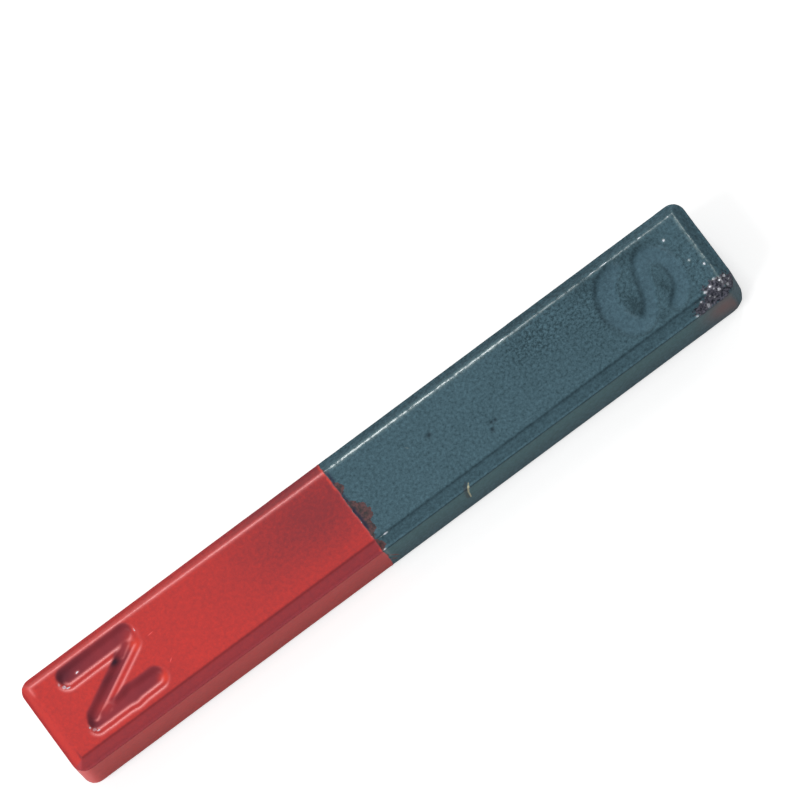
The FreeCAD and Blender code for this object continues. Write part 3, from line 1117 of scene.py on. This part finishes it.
def new_material(name):
    """An empty node material, as a graph to build its surface in."""
    made = bpy.data.materials.new(name)
    made.use_nodes = True
    made.node_tree.nodes.clear()
    return made, Graph(made.node_tree)


def share_of(graph, mask, share):
    """A mask at a share of its strength."""
    return graph.math("MULTIPLY", mask, share)


def lay_over(graph, base, layers):
    """A colour with others laid over it in turn, each by a mask or a mask's name, and at a share."""
    for mask, share, cover in layers:
        if isinstance(mask, str):
            mask = graph.attribute(mask)
        base = graph.mix(share_of(graph, mask, share), base, rgba(cover))
    return base


def finish_surface(graph, inputs, height, bump_height):
    """The surface shader, with the height as its bumps, bump_height millimetres high."""
    bump = graph.node("ShaderNodeBump", {"Height": height, "Distance": bump_height * MM, "Strength": 1.0})
    surface = graph.node("ShaderNodeBsdfPrincipled", {**inputs, "Normal": bump.outputs["Normal"]})
    graph.node("ShaderNodeOutputMaterial", {"Surface": surface.outputs["BSDF"]})


def broken_painted_glints(graph, place):
    """The mask of painted highlight specks with uneven outlines."""
    inputs = {"Mask": graph.attribute("glint"), "Place": place, "Chip Size": 0.14 * MM, "Raggedness": 0.9}
    broken = put_effect(graph, "ragged_edge", inputs)["Mask"]
    strength = graph.ramp(graph.noise(place, 1 / (0.45 * MM), 1.0), 0.35, 0.65, 0.25, 0.9)
    return graph.math("MULTIPLY", broken, strength)


def red_coat(colours):
    """Glossy red paint, thick at the seam and gathered in the letter, with painted shade, painted light and
    painted highlights laid into its colour.
    """
    material, graph = new_material("red_coat")
    place = graph.place()
    # Its darkness holds painted shade and painted light on the borders as well as the coat's uneven tone.
    paint = put_effect(graph, "cloudy_paint", {
        "Fresh": rgba(colours.red), "Dull": rgba(colours.dull_and_shaded_red), "Speck": rgba(colours.pooled_and_shaded_red),
        "Place": place, "Dullness": graph.attribute("dull"), "Cloud Size": 2.6 * MM, "Clouds": 0.3,
        "Mottle Size": 0.3 * MM, "Mottle": 1.15, "Speck Size": 0.35 * MM, "Speck Share": 0.06,
    })
    now = lay_over(graph, paint["Color"], (
        # Painted shade and reflection on the low side's border.
        ("low_border", 0.4, colours.low_side_shade_red),
        # Painted light high on the low side's wall.
        ("low_wall", 0.35, colours.painted_light_and_scratch_red),
        # Painted light at the north end's upright corner.
        ("north_corner", 1.0, colours.painted_light_and_scratch_red),
        # Gathered paint with painted shade in the letter.
        ("pooled", 1.0, colours.pooled_and_shaded_red),
        # Painted shade, darkest in the letter's corners.
        ("deep", 1.0, colours.darkest_red),
        # Darker along the border's crown, most on the low side, and on the land.
        ("thin", 0.55, colours.darkest_red),
        # Painted highlight on the seam's lip and the N's stroke ends.
        ("bright", 1.0, colours.painted_highlight_red),
        # Painted highlight along the glossy edges and the letter's walls.
        ("gloss", 0.6, colours.painted_light_and_scratch_red),
        (scratches(graph, place, RED_SCRATCHES), 0.8, colours.painted_light_and_scratch_red),
        # Painted highlights as pale specks.
        (broken_painted_glints(graph, place), 1.0, colours.glint),
    ))
    ripple = graph.noise(place, 1 / (0.9 * MM), 2.0, 0.4)
    height = graph.math("ADD", ripple, share_of(graph, paint["Mottle"], 0.3))
    inputs = {
        "Base Color": now, "Roughness": 0.3, "Specular IOR Level": 0.06,
        "Specular Tint": (1.0, 0.62, 0.64, 1.0), "Coat Roughness": 0.4, "Coat IOR": 2.4,
        "Coat Weight": share_of(graph, graph.attribute("gloss"), 0.62),
    }
    finish_surface(graph, inputs, height, 0.006)
    return material


def blue_coat(colours):
    """Satin blue-grey paint, drawn back at the seam and worn at the south end, with painted shade, painted
    light and painted highlights laid into its colour.
    """
    material, graph = new_material("blue_grey_coat")
    place = graph.place()
    # Its darkness holds painted shade and painted light on the borders as well as the coat's uneven tone.
    paint = put_effect(graph, "cloudy_paint", {
        "Fresh": rgba(colours.blue), "Dull": rgba(colours.dull_and_shaded_blue), "Speck": rgba(colours.darkest_blue),
        "Place": place, "Dullness": graph.attribute("dull"), "Cloud Size": 1.6 * MM, "Clouds": 0.25,
        "Mottle Size": 0.23 * MM, "Mottle": graph.math("MULTIPLY_ADD", graph.attribute("grainy"), 2.2, 2.1),
        "Speck Size": 0.3 * MM, "Speck Share": 0.2,
    })
    cuts = scratches(graph, place, BLUE_SCRATCHES)
    coat = lay_over(graph, paint["Color"], (
        ("letter", 0.3, colours.pale_blue),
        # Painted light high on the low side's wall.
        ("low_wall", 0.35, colours.painted_light_blue),
        # Painted shade on the S's walls turned from the light.
        ("letter_edge", 0.4, colours.darkest_blue),
        # Darker along the border's crown, most on the low side, and on the land.
        ("thin", 0.55, colours.darkest_blue),
        # Painted highlight along the glossy edges.
        ("gloss", 0.5, colours.painted_light_blue),
        # Painted shade in the pits.
        ("pit", 0.95, colours.darkest_blue),
        ("rubbed", 0.8, colours.stain),
        # Painted shadow beside the scratches.
        (scratches(graph, place, BLUE_SCRATCHES, SHADE_WIDENING, SHADE_ASIDE), 0.5, colours.dark_ferrite_and_shadow),
        (cuts, 0.9, colours.scratch),
        (scratches(graph, place, FAINT_SCRATCHES), 0.12, colours.scratch),
        (scratches(graph, place, RUST_SCRATCHES), 0.7, colours.rust),
    ))
    gaps = put_effect(graph, "ragged_edge", {
        "Mask": graph.attribute("bare"), "Place": place, "Chip Size": 0.14 * MM, "Raggedness": 1.4,
    })
    skin = put_effect(graph, "bare_ferrite", {
        "Coat": coat, "Coat Roughness": 0.45, "Ferrite": rgba(colours.ferrite),
        "Hollows": rgba(colours.dark_ferrite_and_shadow), "Place": place, "Grain Size": 0.35 * MM, "Mask": gaps["Mask"],
    })
    wear = put_effect(graph, "ragged_edge", {
        "Mask": graph.attribute("worn"), "Place": place, "Chip Size": 0.25 * MM, "Raggedness": 1.6,
    })
    broken = put_effect(graph, "bare_ferrite", {
        "Coat": skin["Color"], "Coat Roughness": skin["Roughness"],
        "Ferrite": rgba(colours.crushed_ferrite), "Hollows": rgba(colours.crushed_hollow),
        "Place": place, "Grain Size": 0.17 * MM, "Mask": wear["Mask"],
    })
    now = lay_over(graph, broken["Color"], (
        ("seam_gap", 1.0, colours.seam_shade),
        # Painted highlights as pale specks.
        (broken_painted_glints(graph, place), 1.0, colours.glint),
    ))
    height = graph.math("ADD", skin["Height"], share_of(graph, broken["Height"], 1.5))
    height = graph.math("ADD", height, share_of(graph, paint["Mottle"], 0.5))
    height = graph.math("SUBTRACT", height, share_of(graph, cuts, 0.8))
    inputs = {
        "Base Color": now, "Roughness": broken["Roughness"], "Specular IOR Level": 0.08,
        "Coat Roughness": 0.3, "Coat IOR": 3.0,
        "Coat Weight": share_of(graph, graph.attribute("gloss"), 0.8),
    }
    finish_surface(graph, inputs, height, 0.015)
    return material


class BAR_MAGNET_OT_bar(Operator):
    """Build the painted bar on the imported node"""

    bl_idname = "bar_magnet.bar"
    bl_label = "Ferrite bar"

    def execute(self, context):
        settings = context.scene.bar_magnet
        for build in (build_ragged_edge, build_cloudy_paint, build_bare_ferrite, build_scratch):
            build()
        mesh = bar_mesh(settings)
        mesh.materials.append(red_coat(settings.colours))
        mesh.materials.append(blue_coat(settings.colours))
        bar = bpy.data.objects.new(NODE + "_body", mesh)
        context.scene.collection.objects.link(bar)
        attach(bar, BODY)
        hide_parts(NODE)
        return {"FINISHED"}


# The lamps: name, degrees from +X towards +Y, degrees above level, sizes in metres and the setting that
# holds the power.
LAMPS = (
    ("main_softbox", 193, 46, (0.3, 0.3), "main_power"),
    ("rear_softbox", 92, 50, (0.12, 0.38), "rear_power"),
    ("small_lamp", 48, 45, (0.08, 0.08), "small_power"),
    ("end_lamp", 20, 42, (0.1, 0.1), "end_power"),
)
LAMP_DISTANCE = 0.6

# Half the floor's side and the size of its grain in metres, the grain's two shades and its share, and
# the light that whitens the floor for the camera.
FLOOR_REACH = 1.5
FLOOR_GRAIN = 0.0025
FLOOR_SHADES = ((0.62, 0.62, 0.62, 1.0), (0.58, 0.58, 0.58, 1.0))
GRAIN_SHARE = 0.1
FLOOR_LIFT = 0.6
WHITE = (1.0, 1.0, 1.0, 1.0)


def build_lamp(context, name, azimuth, elevation, size, power):
    """A rectangular light that faces the bar, out of the camera's sight."""
    turn, rise_angle = math.radians(azimuth), math.radians(elevation)
    level = Vector((math.cos(turn), math.sin(turn), 0)) * math.cos(rise_angle)
    away = level + Vector((0, 0, math.sin(rise_angle)))
    lamp = bpy.data.lights.new(name, "AREA")
    lamp.shape = "RECTANGLE"
    lamp.size, lamp.size_y = size
    lamp.energy = power
    made = bpy.data.objects.new(name, lamp)
    made.location = BAR_CENTRE + away * LAMP_DISTANCE
    made.rotation_mode = "QUATERNION"
    made.rotation_quaternion = away.to_track_quat("Z", "Y")
    made.visible_camera = False
    context.scene.collection.objects.link(made)


def build_floor(context):
    """A wide pale floor, which the camera sees as white outside the bar's shadow."""
    material, graph = new_material("pale_floor")
    grain = graph.noise(graph.place(), 1 / FLOOR_GRAIN)
    cover = graph.mix(share_of(graph, grain, GRAIN_SHARE), *FLOOR_SHADES)
    matt = graph.node("ShaderNodeBsdfDiffuse", {"Color": cover}).outputs["BSDF"]
    seen = graph.node("ShaderNodeLightPath").outputs["Is Camera Ray"]
    strength = share_of(graph, seen, FLOOR_LIFT)
    lift = graph.node("ShaderNodeEmission", {"Color": WHITE, "Strength": strength}).outputs[0]
    both = graph.node("ShaderNodeAddShader", {0: matt, 1: lift}).outputs[0]
    graph.node("ShaderNodeOutputMaterial", {"Surface": both})
    corners = [Vector((x, y, 0)) * FLOOR_REACH for x, y in ((-1, -1), (1, -1), (1, 1), (-1, 1))]
    mesh = bpy.data.meshes.new("floor")
    mesh.from_pydata(corners, [], [(0, 1, 2, 3)])
    mesh.materials.append(material)
    floor = bpy.data.objects.new("floor", mesh)
    context.scene.collection.objects.link(floor)


def build_world(context, ambient):
    """Even light from all round, white to the camera."""
    world = bpy.data.worlds.new("studio")
    world.use_nodes = True
    world.node_tree.nodes.clear()
    graph = Graph(world.node_tree)
    seen = graph.node("ShaderNodeLightPath").outputs["Is Camera Ray"]
    strength = graph.blend(seen, ambient, 1.0)
    light = graph.node("ShaderNodeBackground", {"Color": WHITE, "Strength": strength})
    graph.node("ShaderNodeOutputWorld", {"Surface": light.outputs[0]})
    context.scene.world = world


def build_camera(context, studio):
    """The camera, leaning towards -Y and turned so that the bar runs up to the right."""
    lean, turn = studio.tilt, studio.roll
    back = Vector((0, -math.sin(lean), math.cos(lean)))
    level_right = Vector((1, 0, 0))
    level_up = back.cross(level_right)
    right = level_right * math.cos(turn) - level_up * math.sin(turn)
    up = level_right * math.sin(turn) + level_up * math.cos(turn)
    camera = bpy.data.cameras.new("camera")
    camera.lens = camera.sensor_width * studio.distance / studio.picture_width
    camera.clip_start, camera.clip_end = 0.05, 10
    made = bpy.data.objects.new("camera", camera)
    spot = BAR_CENTRE + back * studio.distance + right * studio.move_right + up * studio.move_up
    made.matrix_world = Matrix.Translation(spot) @ Matrix((right, up, back)).transposed().to_4x4()
    context.scene.collection.objects.link(made)
    context.scene.camera = made


class BAR_MAGNET_OT_studio(Operator):
    """Build the floor, the lights and the camera"""

    bl_idname = "bar_magnet.studio"
    bl_label = "Studio"

    def execute(self, context):
        studio = context.scene.bar_magnet.studio
        build_floor(context)
        build_world(context, studio.ambient)
        for name, azimuth, elevation, size, power in LAMPS:
            build_lamp(context, name, azimuth, elevation, size, getattr(studio, power))
        build_camera(context, studio)
        context.scene.view_settings.view_transform = "Standard"
        return {"FINISHED"}


class BAR_MAGNET_PT_panel(Panel):
    """The magnet's operators and settings"""

    bl_idname = "BAR_MAGNET_PT_panel"
    bl_label = "Bar magnet"
    bl_space_type = "VIEW_3D"
    bl_region_type = "UI"
    bl_category = "Bar magnet"

    def draw(self, context):
        settings = context.scene.bar_magnet
        for operator in OPERATORS:
            self.layout.operator(operator.bl_idname)
        for group in (settings.shape, settings.letters, settings.colours, settings.studio):
            box = self.layout.box()
            for name in group.__annotations__:
                box.prop(group, name)


GROUPS = (BarShape, PoleLetters, CoatColours, Studio, BarMagnet)
OPERATORS = (BAR_MAGNET_OT_bar, BAR_MAGNET_OT_studio)
CLASSES = (*GROUPS, *OPERATORS, BAR_MAGNET_PT_panel)


def register():
    """Makes the settings, operators and panel known to Blender."""
    for kind in CLASSES:
        bpy.utils.register_class(kind)
    bpy.types.Scene.bar_magnet = PointerProperty(type=BarMagnet)


def unregister():
    """Takes them away again."""
    del bpy.types.Scene.bar_magnet
    for kind in reversed(CLASSES):
        bpy.utils.unregister_class(kind)


def main():
    """Builds the bar and the studio."""
    register()
    for operator in (bpy.ops.bar_magnet.bar, bpy.ops.bar_magnet.studio):
        operator()


if __name__ == "__main__":
    main()
